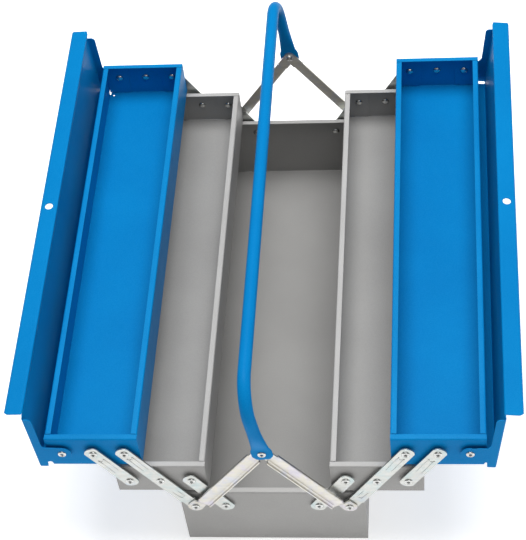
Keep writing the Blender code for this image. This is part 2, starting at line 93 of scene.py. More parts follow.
ARM_SHEET = 1.3 * MM
ARM_EDGE = 0.2 * MM
ARM_WIDTH = 13.5 * MM
ARM_FOOT_WIDTH = 16.5 * MM
ARM_FOOT = 3.4 * MM  # from the end wall to the inner face of the foot
ARM_WEB = 9.2 * MM  # and to that of the web
ARM_STACK = 1.6 * MM  # the right arm's head lies on the left arm's
ARM_STEP = (9 * MM, 20 * MM)  # where the joggle starts and stops
ARM_LIPS = (20 * MM, 16.5 * MM)  # where the lips start, and stop before the apex
ARM_LOWER_LIP = 4.0 * MM  # stands out
ARM_UPPER_LIP = 2.4 * MM  # stands in
ARM_LOWER_BEND = 2.6 * MM
ARM_UPPER_BEND = 1.1 * MM
ARM_LIP_RAMP = 3 * MM
BEND_STEPS = 5

HANDLE_REACH = 99 * MM
HANDLE_BEND = 35.6 * MM
HANDLE_TUBE = 13.6 * MM
HANDLE_LEAN = math.radians(6)
HANDLE_EAR = 12.4 * MM
HANDLE_EAR_SHEET = 2.5 * MM
HANDLE_TUBE_OFFSET = 16.1 * MM
HANDLE_SIDES = 40

LID_RISE = 29 * MM
LID_STEP = 2.8 * MM
LID_OVERHANG = 23.1 * MM
LID_LIP = 9.4 * MM
LIP_CUTBACK = 3.4 * MM
LID_FLAT = 2 * MM  # a panel stretch longer than this is split into FLAT_PARTS
LID_END_OFFSET = 3.0 * MM
LID_ANGLE = {"left": math.radians(92), "right": math.radians(96)}
FLAP_DEPTH = 9.5 * MM
FLAP_REACH = 64.5 * MM
FLAP_CORNER = 5 * MM
FLAP_EAR_RADIUS = 10 * MM
FLAP_EAR_HEEL = 14.5 * MM
FLAP_HEEL = 1 * MM
FLAP_INSET = 0.3 * MM
FLAP_EDGE = 0.2 * MM
FLANGE_FROM_PIVOT = 76 * MM
FLANGE_HEIGHT = 15.8 * MM
FLANGE_HEM = 2.8 * MM
FLANGE_CORNER = 5 * MM
FLANGE_END_OFFSET = 4.3 * MM
FLANGE_REAR_CORNER = 1.5 * MM
FLANGE_TIP = 0.2 * MM
PADLOCK_HOLE = 9 * MM
PADLOCK_RISE = 6.3 * MM

RIVET_HEAD = 9.0 * MM
RIVET_SHANK = 2.4 * MM  # radius
RIVET_BORE = 1.7 * MM  # radius
RIVET_BORE_DEPTH = 2 * MM
RIVET_DOME = 2.2 * MM  # height of the inner head
RIVET_RING = 1.5 * MM  # height of the rolled outer head
RIVET_RING_FOOT = 0.15 * MM
RIVET_CREST = 0.68  # where the ring is highest, as a share of its radius
RIVET_MOUTH = 0.75 * MM
RIVET_THROAT = 0.3 * MM
RIVET_SIDES = 36

FLOOR_REACH = 12
FLOOR_GAP = 0.2 * MM
LIGHT_AIM = Vector((0, 0, 0.1))
SOFTBOXES = {  # place, size and watts
    "overhead": ((0.12, 0.3, 2.6), (2.0, 1.6), 74),
    "front_fill": ((0.9, -2.6, 1.2), (1.8, 1.2), 6),
}
SKY_STRENGTH = 0.28
PAPER_GLOW = 0.55

CAMERA_PLACE = (0.1981, -1.2540, 1.7130)
CAMERA_YAW = math.radians(9.92)
CAMERA_PITCH = math.radians(-51.08)
CAMERA_ROLL = math.radians(-8.37)
CAMERA_LENS = 117.19
CAMERA_CLIP = 0.05

PIVOTS = {joint["name"]: Vector(joint["pos_m"]) for joint in frame["joints"]}
SIDE_JOINTS = ("swing", "inner_link_swing", "outer_link_swing", "middle_tray_level", "upper_tray_level")
SIDES = {"left": -1, "right": 1}
ENDS = {"front": -1, "rear": 1}
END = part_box("base")[1].y


# Materials --------------------------------------------------------------------------------------


class Nodes:
    """A short way to build a material's node tree."""

    def __init__(self, name):
        self.material = bpy.data.materials.new(name)
        self.material.use_nodes = True
        self.tree = self.material.node_tree
        self.shader = self.tree.nodes["Principled BSDF"]
        self.place = self.add("ShaderNodeTexCoord").outputs["Object"]

    def add(self, kind, **settings):
        node = self.tree.nodes.new(kind)
        for key, value in settings.items():
            setattr(node, key, value)
        return node

    def link(self, source, target):
        self.tree.links.new(source, target)

    def noise(self, scale, detail=3.0, stretch=(1, 1, 1), roughness=0.5):
        mapping = self.add("ShaderNodeMapping")
        mapping.inputs["Scale"].default_value = stretch
        self.link(self.place, mapping.inputs["Vector"])
        noise = self.add("ShaderNodeTexNoise")
        noise.inputs["Scale"].default_value = scale
        noise.inputs["Detail"].default_value = detail
        noise.inputs["Roughness"].default_value = roughness
        self.link(mapping.outputs["Vector"], noise.inputs["Vector"])
        return noise.outputs["Fac"]

    def ramp(self, source, stops):
        ramp = self.add("ShaderNodeValToRGB")
        elements = ramp.color_ramp.elements
        while len(elements) < len(stops):
            elements.new(0.5)
        for element, (position, colour) in zip(elements, stops):
            element.position = position
            element.color = (*colour, 1)
        self.link(source, ramp.inputs["Fac"])
        return ramp.outputs["Color"]

    def spread(self, source, low, high):
        """Maps 0..1 to low..high."""
        node = self.add("ShaderNodeMapRange")
        node.inputs["To Min"].default_value = low
        node.inputs["To Max"].default_value = high
        self.link(source, node.inputs["Value"])
        return node.outputs["Result"]

    def mix(self, factor, first, second):
        node = self.add("ShaderNodeMix", data_type="RGBA")
        for socket, value in (("Factor", factor), ("A", first), ("B", second)):
            slot = next(s for s in node.inputs if s.name == socket and s.enabled)
            if isinstance(value, (int, float)):
                slot.default_value = value
            elif isinstance(value, tuple):
                slot.default_value = (*value, 1)
            else:
                self.link(value, slot)
        return next(s for s in node.outputs if s.enabled)

    def edges(self, radius):
        """0 on flat sheet, towards 1 on folds and cut edges; the mask of the paint's painted highlight."""
        bevel = self.add("ShaderNodeBevel", samples=4)
        bevel.inputs["Radius"].default_value = radius
        geometry = self.add("ShaderNodeNewGeometry")
        dot = self.add("ShaderNodeVectorMath", operation="DOT_PRODUCT")
        self.link(bevel.outputs["Normal"], dot.inputs[0])
        self.link(geometry.outputs["Normal"], dot.inputs[1])
        node = self.add("ShaderNodeMapRange")
        node.inputs["From Min"].default_value = 1.0
        node.inputs["From Max"].default_value = 0.8
        self.link(dot.outputs["Value"], node.inputs["Value"])
        return node.outputs["Result"]

    def bump(self, *layers):
        """Stacks (height source, distance in metres) layers."""
        normal = None
        for height, distance in layers:
            bump = self.add("ShaderNodeBump")
            bump.inputs["Strength"].default_value = 1.0
            bump.inputs["Distance"].default_value = distance
            self.link(height, bump.inputs["Height"])
            if normal:
                self.link(normal, bump.inputs["Normal"])
            normal = bump.outputs["Normal"]
        self.link(normal, self.shader.inputs["Normal"])


def paint(name, deep, full, speckle_and_highlight, roughness, sheen):
    """Powder coat: fine orange peel, faint clouds of tone, painted highlight on folds and cut edges."""
    nodes = Nodes(name)
    clouds = nodes.noise(9, 3)
    colour = nodes.ramp(clouds, [(0.3, deep), (0.7, full)])
    speckle = nodes.noise(900, 2)
    colour = nodes.mix(0.10, colour, nodes.ramp(speckle, [(0.35, deep), (0.65, speckle_and_highlight)]))
    # painted highlight: folds and cut edges are mixed towards the light tone
    colour = nodes.mix(nodes.spread(nodes.edges(0.6 * MM), 0, 0.35), colour, speckle_and_highlight)
    nodes.link(colour, nodes.shader.inputs["Base Color"])
    gloss = nodes.spread(nodes.noise(60, 4), roughness - 0.05, roughness + 0.07)
    nodes.link(gloss, nodes.shader.inputs["Roughness"])
    nodes.shader.inputs["Specular IOR Level"].default_value = sheen
    nodes.bump((nodes.noise(700, 3), 0.012 * MM), (nodes.noise(45, 2), 0.05 * MM))
    return nodes.material


def zinc(name, cool, warm, streak):
    """Bright zinc plate: passivated tints in patches, fine rolling streaks along the strip."""
    nodes = Nodes(name)
    patches = nodes.ramp(nodes.noise(55, 4, roughness=0.6), [(0.35, cool), (0.52, warm), (0.68, streak)])
    grain = nodes.noise(260, 5, stretch=(0.25, 1, 1))
    streaks = nodes.ramp(grain, [(0.3, (0.30, 0.31, 0.32)), (0.7, (0.62, 0.62, 0.62))])
    nodes.link(nodes.mix(0.25, patches, streaks), nodes.shader.inputs["Base Color"])
    nodes.shader.inputs["Metallic"].default_value = 0.9
    nodes.link(nodes.spread(nodes.noise(150, 4), 0.24, 0.38), nodes.shader.inputs["Roughness"])
    nodes.bump((grain, 0.006 * MM), (nodes.noise(120, 3), 0.02 * MM))
    return nodes.material


def bright_steel(name, dull, bright, roughness):
    """Bare steel with a fine mottle."""
    nodes = Nodes(name)
    colour = nodes.ramp(nodes.noise(400, 3), [(0.3, dull), (0.7, bright)])
    nodes.link(colour, nodes.shader.inputs["Base Color"])
    nodes.shader.inputs["Metallic"].default_value = 1.0
    gloss = nodes.spread(nodes.noise(500, 3), roughness - 0.08, roughness + 0.08)
    nodes.link(gloss, nodes.shader.inputs["Roughness"])
    nodes.bump((nodes.noise(800, 2), 0.01 * MM))
    return nodes.material


def floor_paper():
    """White paper, lit a little from within so that it stays white to the edges of the view."""
    nodes = Nodes("floor_paper")
    tone = nodes.ramp(nodes.noise(3, 2), [(0.3, (0.93, 0.93, 0.93)), (0.7, (0.95, 0.95, 0.95))])
    nodes.link(tone, nodes.shader.inputs["Base Color"])
    nodes.shader.inputs["Roughness"].default_value = 0.9
    nodes.shader.inputs["Emission Color"].default_value = (1, 1, 1, 1)
    nodes.shader.inputs["Emission Strength"].default_value = PAPER_GLOW
    nodes.bump((nodes.noise(800, 3), 0.02 * MM))
    return nodes.material


BLUE = paint("blue_powder_coat", (0.0005, 0.17, 0.45), (0.001, 0.20, 0.50), (0.03, 0.34, 0.70),
             0.36, 0.025)
GREY = paint("grey_powder_coat", (0.295, 0.291, 0.283), (0.335, 0.331, 0.322), (0.50, 0.49, 0.48),
             0.42, 0.2)
# Lighter copies of the two paints for the rims: painted light, the rims standing in fuller light than
# walls and floors.
BLUE_RIM_LIT = paint("blue_rim_lit", (0.001, 0.18, 0.46), (0.003, 0.22, 0.53), (0.04, 0.38, 0.72), 0.33, 0.04)
GREY_RIM_LIT = paint("grey_rim_lit", (0.41, 0.405, 0.395), (0.46, 0.455, 0.445), (0.60, 0.59, 0.58), 0.38, 0.2)
LINK_ZINC = zinc("link_zinc", (0.41, 0.50, 0.50), (0.53, 0.53, 0.49), (0.46, 0.51, 0.54))
ARM_ZINC = zinc("arm_zinc", (0.49, 0.50, 0.55), (0.58, 0.55, 0.46), (0.53, 0.50, 0.57))
RIVET_STEEL = bright_steel("rivet_steel", (0.50, 0.50, 0.48), (0.66, 0.67, 0.66), 0.26)
# Near black for inside the rivets' bores: painted shade in the hole.
BORE_SHADE = bright_steel("rivet_bore_shade", (0.03, 0.022, 0.018), (0.07, 0.055, 0.045), 0.5)
LIT_RIM_COATS = {BLUE: BLUE_RIM_LIT, GREY: GREY_RIM_LIT}


# Building blocks --------------------------------------------------------------------------------


def add_piece(name, bm, material, body, replaced=(), sheet=0.0, bevel=0.0, closed=False):
    """Turns a mesh into a piece.  A sheet is drawn as its middle surface and given its thickness here."""
    if closed:
        bmesh.ops.recalc_face_normals(bm, faces=bm.faces)
    mesh = bpy.data.meshes.new(name)
    bm.to_mesh(mesh)
    bm.free()
    mesh.shade_smooth()
    mesh.materials.append(material)
    piece = bpy.data.objects.new(name, mesh)
    bpy.context.scene.collection.objects.link(piece)
    if sheet:
        solid = piece.modifiers.new("Thickness", "SOLIDIFY")
        solid.thickness = sheet
        solid.offset = 0
        solid.use_even_offset = True
    if bevel:
        edge = piece.modifiers.new("Edges", "BEVEL")
        edge.width = bevel
        edge.segments = 2
        edge.limit_method = "ANGLE"
        edge.angle_limit = math.radians(50)
        edge.harden_normals = False
    if sheet or bevel:
        weighted = piece.modifiers.new("Normals", "WEIGHTED_NORMAL")
        weighted.keep_sharp = False
        weighted.weight = 80
    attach(piece, body)
    if replaced:
        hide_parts(*replaced)
    return piece


def drill(piece, diameter, place, sides):
    """Drills a hole through a finished piece, along the place's Z axis."""
    bm = bmesh.new()
    bmesh.ops.create_cone(bm, cap_ends=True, segments=sides, radius1=diameter / 2, radius2=diameter / 2,
                          depth=DRILL_LENGTH, matrix=place)
    bmesh.ops.recalc_face_normals(bm, faces=bm.faces)
    cutter_mesh = bpy.data.meshes.new("cutter")
    bm.to_mesh(cutter_mesh)
    bm.free()
    cutter = bpy.data.objects.new("cutter", cutter_mesh)
    bpy.context.scene.collection.objects.link(cutter)
    hole = piece.modifiers.new("Hole", "BOOLEAN")
    hole.operation = "DIFFERENCE"
    hole.object = cutter
    hole.solver = "EXACT"
    piece.modifiers.move(len(piece.modifiers) - 1, 1)
    bpy.context.view_layer.update()
    finished = piece.evaluated_get(bpy.context.evaluated_depsgraph_get())
    mesh = bpy.data.meshes.new_from_object(finished)
    piece.modifiers.clear()
    piece.data = mesh
    bpy.data.objects.remove(cutter)


def angles(start, stop, steps):
    """Evenly spread angles in radians, both ends included, between two in degrees."""
    return [math.radians(start + (stop - start) * i / steps) for i in range(steps + 1)]


def arc(centre, radius, start, stop, steps):
    spread = angles(start, stop, steps)
    return [(centre[0] + radius * math.cos(a), centre[1] + radius * math.sin(a)) for a in spread]


def fillet(points, radius):
    """An open 2-D path with its corners rounded."""
    points = [Vector(point) for point in points]
    path = [points[0]]
    for before, corner, after in zip(points, points[1:], points[2:]):
        entry = (corner - before).normalized()
        leave = (after - corner).normalized()
        turn = math.atan2(entry.x * leave.y - entry.y * leave.x, entry.dot(leave))
        reach = radius * math.tan(abs(turn) / 2)
        start = corner - entry * reach
        arm = Vector((entry.y, -entry.x)) * math.copysign(radius, turn)
        centre = start - arm
        for step in range(BEND_STEPS + 1):
            angle = turn * step / BEND_STEPS
            path.append(centre + Vector((arm.x * math.cos(angle) - arm.y * math.sin(angle),
                                         arm.x * math.sin(angle) + arm.y * math.cos(angle))))
    path.append(points[-1])
    return path


def grid(bm, rows, skip=lambda i, j: False):
    """Faces between rows of points, all rows equally long."""
    verts = [[bm.verts.new(point) for point in row] for row in rows]
    for i in range(len(rows) - 1):
        for j in range(len(rows[0]) - 1):
            if not skip(i, j):
                bm.faces.new((verts[i][j], verts[i][j + 1], verts[i + 1][j + 1], verts[i + 1][j]))
    loose = [vert for row in verts for vert in row if not vert.link_faces]
    bmesh.ops.delete(bm, geom=loose, context="VERTS")


def loft(bm, rings):
    """A closed skin through rings of points, capped at both ends."""
    verts = [[bm.verts.new(point) for point in ring] for ring in rings]
    for lower, upper in zip(verts, verts[1:]):
        for i in range(len(lower)):
            j = (i + 1) % len(lower)
            bm.faces.new((lower[i], lower[j], upper[j], upper[i]))
    bm.faces.new(verts[0])
    bm.faces.new(list(reversed(verts[-1])))


def turned(bm, profile, place):
    """A solid turned about the place's Y axis from (radius, y) points; both ends are on the axis."""
    tips = [bm.verts.new(place @ Vector((0, profile[i][1], 0))) for i in (0, -1)]
    rings = []
    turns = [math.tau * i / RIVET_SIDES for i in range(RIVET_SIDES)]
    for radius, y in profile[1:-1]:
        ring = [Vector((radius * math.cos(a), y, radius * math.sin(a))) for a in turns]
        rings.append([bm.verts.new(place @ point) for point in ring])
    for i in range(RIVET_SIDES):
        j = (i + 1) % RIVET_SIDES
        bm.faces.new((tips[0], rings[0][i], rings[0][j]))
        bm.faces.new((tips[1], rings[-1][j], rings[-1][i]))
        for lower, upper in zip(rings, rings[1:]):
            bm.faces.new((lower[i], upper[i], upper[j], lower[j]))


def strip_frame(origin, toward, end):
    """Axes of a strip on an end wall: X along it, Y outwards, Z across it and upwards."""
    along = (toward - origin).normalized()
    across = Vector((-along.z, 0, along.x))
    if across.z < 0:
        across.negate()
    base = Vector((origin.x, end * END, origin.z))
    outward = Vector((0, end, 0))
    return Matrix.Translation(base) @ Matrix((along, outward, across)).transposed().to_4x4()


def smooth(share):
    """0 to 1 with a gentle start and stop."""
    share = min(max(share, 0), 1)
    return share * share * (3 - 2 * share)


# Trays ------------------------------------------------------------------------------------------


def add_points(path, is_flat):
    """Splits the flat stretches of a path, so that they shade evenly."""
    dense = []
    for first, second in zip(path, path[1:]):
        parts = FLAT_PARTS if is_flat(first, second) else 1
        dense += [first.lerp(second, k / parts) for k in range(parts)]
    return dense + [path[-1]]


def is_wall(first, second):
    """Whether a stretch of a path is a wall or floor, and not a fold or rim."""
    return (second - first).length > LONG_FLAT


def in_relief(x, z, lo, hi, side):
    """Whether a spot is in the notch at an upper tray's outer bottom corners."""
    if not side:
        return False
    outer = hi.x if side > 0 else lo.x
    return abs(x - outer) < RELIEF_WIDTH and z < lo.z + RELIEF_HEIGHT


def lit_rim_piece(name, bm, rim_level, material, body, node):
    """Folded sheet whose rim takes a lighter copy of its paint: painted light, for the rim stands in
    fuller light than its walls and floor.
    """
    for face in bm.faces:
        # faces above the rim level take the lighter copy of the paint, a painted highlight
        face.material_index = int(face.calc_center_median().z > rim_level - 0.2 * FOLD)
    piece = add_piece(name, bm, material, body, [node], sheet=SHEET, bevel=SHEET_EDGE)
    piece.data.materials.append(LIT_RIM_COATS[material])
    return piece


def tray_trough(name, lo, hi, side, material, body, node):
    """Floor, side walls and side rims, folded from one sheet."""
    half = SHEET / 2
    x0, x1, z0, z1 = lo.x + half, hi.x - half, lo.z + half, hi.z - half
    path = fillet([(lo.x + RIM, z1), (x0, z1), (x0, z0), (x1, z0), (x1, z1), (hi.x - RIM, z1)], FOLD)
    path = add_points(path, is_wall)
    wall_end = hi.y - SHEET - WALL_GAP
    rim_end = hi.y - RIM - RIM_SLIT
    relief_end = hi.y - RELIEF_LENGTH
    stations = [-wall_end, -relief_end, -rim_end, rim_end, relief_end, wall_end]
    rim_level = z1 - 0.7 * FOLD

    def on_slit(i, j):
        if j != 2 and max(path[i].y, path[i + 1].y) > rim_level:
            return True
        middle = (path[i] + path[i + 1]) / 2
        return j in (0, 4) and in_relief(middle.x, middle.y, lo, hi, side)

    bm = bmesh.new()
    grid(bm, [[(point.x, y, point.y) for y in stations] for point in path], on_slit)
    return lit_rim_piece(name, bm, z1, material, body, node)


def tray_end(name, lo, hi, end, side, material, body, node):
    """An end wall with its rim, which runs the full width."""
    half = SHEET / 2
    y1, z0, z1 = hi.y - half, lo.z + half, hi.z - half
    path = fillet([(hi.y - RIM, z1), (y1, z1), (y1, z0), (hi.y - END_TURN, z0)], FOLD)[:-1]
    path = add_points(path, is_wall)
    xs = [lo.x, lo.x + RELIEF_WIDTH, hi.x - RELIEF_WIDTH, hi.x]

    def on_notch(i, j):
        return in_relief((xs[j] + xs[j + 1]) / 2, (path[i].y + path[i + 1].y) / 2, lo, hi, side)

    bm = bmesh.new()
    grid(bm, [[(x, end * point.x, point.y) for x in xs] for point in path], on_notch)
    return lit_rim_piece(name, bm, z1, material, body, node)


def tray_tabs(name, lo, hi, end, material, body, node):
    """Tabs of the side walls, folded in behind the end wall."""
    y = end * (hi.y - SHEET - TAB_SHEET / 2 - TAB_GAP)
    bm = bmesh.new()
    for wall, inward in ((lo.x + SHEET, 1), (hi.x - SHEET, -1)):
        top, bottom = hi.z - 2 * SHEET, lo.z + 2 * SHEET
        near = wall + inward * WALL_GAP
        far = wall + inward * TAB_WIDTH
        foot = far - inward * TAB_TAPER
        grid(bm, [[(near, y, bottom), (near, y, top)], [(foot, y, bottom), (far, y, top)]])
    add_piece(name, bm, material, body, [node], sheet=TAB_SHEET, bevel=TAB_EDGE)


def add_tray(node, body, material, side=0):
    """side is the outer side of an upper tray, whose outer bottom corners are notched."""
    lo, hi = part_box(node)
    trough = tray_trough(f"{node}_trough", lo, hi, side, material, body, node)
    for where, end in ENDS.items():
        tray_end(f"{node}_{where}_wall", lo, hi, end, side, material, body, node)
        tray_tabs(f"{node}_{where}_tabs", lo, hi, end, material, body, node)
    return trough


def drill_drain(trough, node, side):
    """The small hole in an upper tray's floor, in one outer corner."""
    lo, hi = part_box(node)
    outer = lo.x if side < 0 else hi.x
    centre = Vector((outer - side * DRAIN_INSET, -side * (hi.y - DRAIN_INSET), lo.z))
    drill(trough, DRAIN_HOLE, Matrix.Translation(centre), 16)


# Links ------------------------------------------------------------------------------------------


def link_stations(length):
    """(place along, half width) from end to end; the ends are round."""
    widest = math.asin(LINK_WIDTH / 2 / LINK_END_RADIUS)
    turns = angles(4, math.degrees(widest), 9)
    start = [(-LINK_END_RADIUS * math.cos(a), LINK_END_RADIUS * math.sin(a)) for a in turns]
    return start, [(length - x, width) for x, width in reversed(start)]


def bead_path(start, stop, width):
    """A U lying along X with its closed end at start."""
    radius = width / 2
    bow = [(start + radius - radius * math.sin(a), -radius * math.cos(a)) for a in angles(0, 180, 8)[1:-1]]
    return [(stop, -radius), (start + radius, -radius)] + bow + [(start + radius, radius), (stop, radius)]


def add_bead(bm, path, face, place):
    """A pressed bead: a low rounded ridge along a path of (x, z) points on a strip's outer face."""
    up = Vector((0, 1, 0))
    points = [Vector((x, face, z)) for x, z in path]
    profile = [(BEAD_WIDTH / 2 * math.cos(a), BEAD_HEIGHT * math.sin(a)) for a in angles(0, 180, 6)]
    rings = []
    for i, point in enumerate(points):
        ahead = points[min(i + 1, len(points) - 1)] - points[max(i - 1, 0)]
        sideways = Vector((-ahead.z, 0, ahead.x)).normalized()
        scale = BEAD_TIP_SCALE if i in (0, len(points) - 1) else 1
        ring = [point + (sideways * across + up * rise) * scale for across, rise in profile]
        ring.append(point - up * BEAD_ROOT)
        rings.append([place @ spot for spot in ring])
    loft(bm, rings)


def add_link(node, body, origin, toward, end, base, step_at=None, beads=()):
    """A pressed strip; base is the offset of its inner face, step_at where it steps out to LINK_HIGH."""
    name = node.replace("link", "strip")
    place = strip_frame(origin, toward, end)
    start, stop = link_stations((toward - origin).length)
    middle = []
    if step_at is not None:
        middle = [(step_at + LINK_STEP * k / 6, LINK_WIDTH / 2) for k in range(7)]
    rows = []
    for x, half in start + middle + stop:
        rise = 0 if step_at is None else smooth((x - step_at) / LINK_STEP)
        y = base + LINK_SHEET / 2 + rise * (LINK_HIGH - LINK_LOW)
        rows.append([place @ Vector((x, y, half * share)) for share in (-1, -0.5, 0, 0.5, 1)])
    bm = bmesh.new()
    grid(bm, rows)
    add_piece(name, bm, LINK_ZINC, body, [node], sheet=LINK_SHEET, bevel=LINK_EDGE)
    if beads:
        bm = bmesh.new()
        for first, last, width in beads:
            add_bead(bm, bead_path(first, last, width), LINK_HIGH + LINK_SHEET, place)
        add_piece(f"{name}_beads", bm, LINK_ZINC, body, closed=True)


def head_bead(length, bead):
    """A bead measured back from the head of a link."""
    start, stop, width = bead
    return length - start, length - stop, width


def side_links(label):
    """The long, inner and outer links at both ends of one side."""
    swing, inner, outer, middle, upper = (PIVOTS[f"{label}_{name}"] for name in SIDE_JOINTS)
    reach = middle - swing
    length = reach.length
    for where, end in ENDS.items():
        start = f"{where}_{label}"
        add_link(f"{start}_long_link", f"{label}_long_links", swing, upper, end, LINK_LOW,
                 LONG_LINK_STEP_AT, [head_bead(2 * length, HEAD_BEAD), FOOT_BEAD])
        add_link(f"{start}_inner_link", f"{label}_inner_links", inner, inner + reach, end, LINK_LOW,
                 INNER_LINK_STEP_AT)
        add_link(f"{start}_outer_link", f"{label}_outer_links", outer, outer + reach, end, LINK_HIGH,
                 beads=[head_bead(length, OUTER_LINK_BEAD)])


# Arms -------------------------------------------------------------------------------------------


def arm_edge(width, middle, sign, height, bend, share):
    """Half an arm's section, (across, outwards), out to an edge that is bent over by share."""
    bend = min(bend, 0.45 * width)
    turned_in = math.copysign(bend, height)
    upright = min(share * 3, 1)
    edge = []
    for k in range(BEND_STEPS + 1):
        angle = math.pi / 2 * k / BEND_STEPS
        flat = Vector((width - bend + bend * 0.9 * k / BEND_STEPS, middle))
        bent = Vector((width - bend + bend * math.sin(angle),
                       middle + math.copysign(bend * (1 - math.cos(angle)), height)))
        edge.append(flat.lerp(bent, upright))
    tip = Vector((width, middle + turned_in + (height - turned_in) * share))
    edge.append(Vector((width, middle)).lerp(tip, upright))
    return [Vector((sign * spot.x, spot.y)) for spot in edge]


def arm_stations(length):
    """Places along an arm, close together at its round ends, its joggle and the tips of its lips."""
    foot_radius, half = ARM_FOOT_WIDTH / 2, ARM_WIDTH / 2
    step_start, step_stop = ARM_STEP
    lip_start, lip_stop = ARM_LIPS[0], length - ARM_LIPS[1]
    xs = [-foot_radius * math.cos(a) for a in angles(5, 90, 10)]
    xs += [step_start * k / 3 for k in (1, 2)]
    xs += [step_start + (step_stop - step_start) * k / 8 for k in range(9)]
    xs += [lip_start + ARM_LIP_RAMP * (k / 8) ** 2 for k in range(1, 9)]
    xs += [lip_stop - ARM_LIP_RAMP * (1 - k / 8) ** 2 for k in range(9)]
    xs += [length + half * math.sin(a) for a in angles(0, 85, 8)]
    return sorted(set(xs))


def add_arm(node, side, end, foot):
    """A strip with a round foot, a joggle, a lip along each edge and a round head at the apex."""
    apex = PIVOTS["handle_hinge"]
    place = strip_frame(foot, apex, end)
    length = (Vector((apex.x, 0, apex.z)) - Vector((foot.x, 0, foot.z))).length
    web = ARM_WEB + (ARM_STACK if side > 0 else 0)
    foot_radius, half = ARM_FOOT_WIDTH / 2, ARM_WIDTH / 2
    step_start, step_stop = ARM_STEP

    def half_width(x):
        if x < 0:
            return math.sqrt(max(foot_radius ** 2 - x * x, 0))
        if x > length:
            return math.sqrt(max(half ** 2 - (x - length) ** 2, 0))
        return foot_radius + (half - foot_radius) * smooth(x / step_stop)

    def lip_share(x):
        """0 beyond the lips, 1 along them, rounded at their tips."""
        inside = min(x - ARM_LIPS[0], length - ARM_LIPS[1] - x)
        return math.sqrt(1 - (1 - min(inside / ARM_LIP_RAMP, 1)) ** 2) if inside > 0 else 0

    def section(x):
        rise = smooth((x - step_start) / (step_stop - step_start))
        middle = ARM_FOOT + (web - ARM_FOOT) * rise + ARM_SHEET / 2
        width, share = half_width(x), lip_share(x)
        lower = arm_edge(width, middle, -1, ARM_LOWER_LIP, ARM_LOWER_BEND, share)
        upper = arm_edge(width, middle, 1, -ARM_UPPER_LIP, ARM_UPPER_BEND, share)
        return list(reversed(lower)) + [Vector((0, middle))] + upper

    rows = [[place @ Vector((x, spot.y, spot.x)) for spot in section(x)] for x in arm_stations(length)]
    bm = bmesh.new()
    grid(bm, rows)
    add_piece(f"{node}_strip", bm, ARM_ZINC, "base_frame", [node], sheet=ARM_SHEET, bevel=ARM_EDGE)


# Rivets -----------------------------------------------------------------------------------------


def rivet_profile(inner, outer):
    """Inner dome head, shank, then a rolled ring with a deep narrow bore, as (radius, y) points."""
    head = RIVET_HEAD / 2
    crest = RIVET_CREST * head
    foot, mouth = outer + RIVET_RING_FOOT, outer + RIVET_MOUTH
    top, bottom = outer + RIVET_RING, outer - RIVET_BORE_DEPTH
    profile = [(0, inner - RIVET_DOME)]
    profile += [(head * math.sin(a), inner - RIVET_DOME * math.cos(a)) for a in angles(0, 90, 8)[1:]]
    profile += [(RIVET_SHANK, inner), (RIVET_SHANK, outer), (head, outer), (head, foot)]
    profile += [(crest + (head - crest) * math.cos(a), foot + (top - foot) * math.sin(a))
                for a in angles(15, 90, 6)]
    profile += [(RIVET_BORE + (crest - RIVET_BORE) * math.sin(a), mouth + (top - mouth) * math.cos(a))
                for a in reversed(angles(15, 90, 5)[:-1])]
    return profile + [(RIVET_BORE, outer + RIVET_THROAT), (RIVET_BORE, bottom), (0, bottom)]


def add_rivet(node, body, where, end, inner, outer):
    """A rivet whose heads sit at the offsets inner and outer from the end wall."""
    place = Matrix.Translation((where.x, end * END, where.z)) @ Matrix.Diagonal((1, end, 1, 1))
    bm = bmesh.new()
    turned(bm, rivet_profile(inner, outer), place)
    for face in bm.faces:
        spots = [place.inverted() @ vert.co for vert in face.verts]
        in_bore = all(math.hypot(spot.x, spot.z) < RIVET_BORE * 1.02 and spot.y > inner for spot in spots)
        # faces inside the bore take the near black: painted shade
        face.material_index = int(in_bore)
    rivet = add_piece(f"{node}_head", bm, RIVET_STEEL, body, [node], closed=True)
    rivet.data.materials.append(BORE_SHADE)


def side_rivets(label):
    """The rivets at both ends of one side, with the offsets their heads sit at."""
    tabbed, plain = -SHEET - TAB_SHEET - 0.1 * MM, -SHEET
    high, low = LINK_HIGH + LINK_SHEET, LINK_LOW + LINK_SHEET
    swing, inner, outer, middle, upper = (PIVOTS[f"{label}_{name}"] for name in SIDE_JOINTS)
    pitch = outer - middle
    middle_tray, upper_tray = f"{label}_middle_tray", f"{label}_upper_tray"
    rivets = [
        ("base_outer_rivet", "base_frame", swing, tabbed, ARM_FOOT + ARM_SHEET),
        ("base_inner_rivet", "base_frame", inner, plain, low),
        ("middle_inner_rivet", middle_tray, middle - pitch, tabbed, high),
        ("middle_centre_rivet", middle_tray, middle, plain, high),
        ("middle_outer_rivet", middle_tray, outer, tabbed, high),
        ("upper_inner_rivet", upper_tray, upper, tabbed, high),
        ("upper_centre_rivet", upper_tray, upper + pitch, plain, high),
        ("lid_rivet", upper_tray, PIVOTS[f"{label}_lid_hinge"], tabbed, LID_END_OFFSET + SHEET),
    ]
    for where, end in ENDS.items():
        for name, body, spot, under, over in rivets:
            add_rivet(f"{where}_{label}_{name}", body, spot, end, under, over)


# Lids -------------------------------------------------------------------------------------------


def lid_place(label, side):
    """From the closed lid's frame (outwards, along, up from its pivot) to the open lid."""
    pivot = PIVOTS[f"{label}_lid_hinge"]
    mirror = Matrix.Diagonal((side, 1, 1, 1))
    opening = Matrix.Rotation(side * LID_ANGLE[label], 4, "Y")
    return Matrix.Translation((pivot.x, 0, pivot.z)) @ opening @ mirror


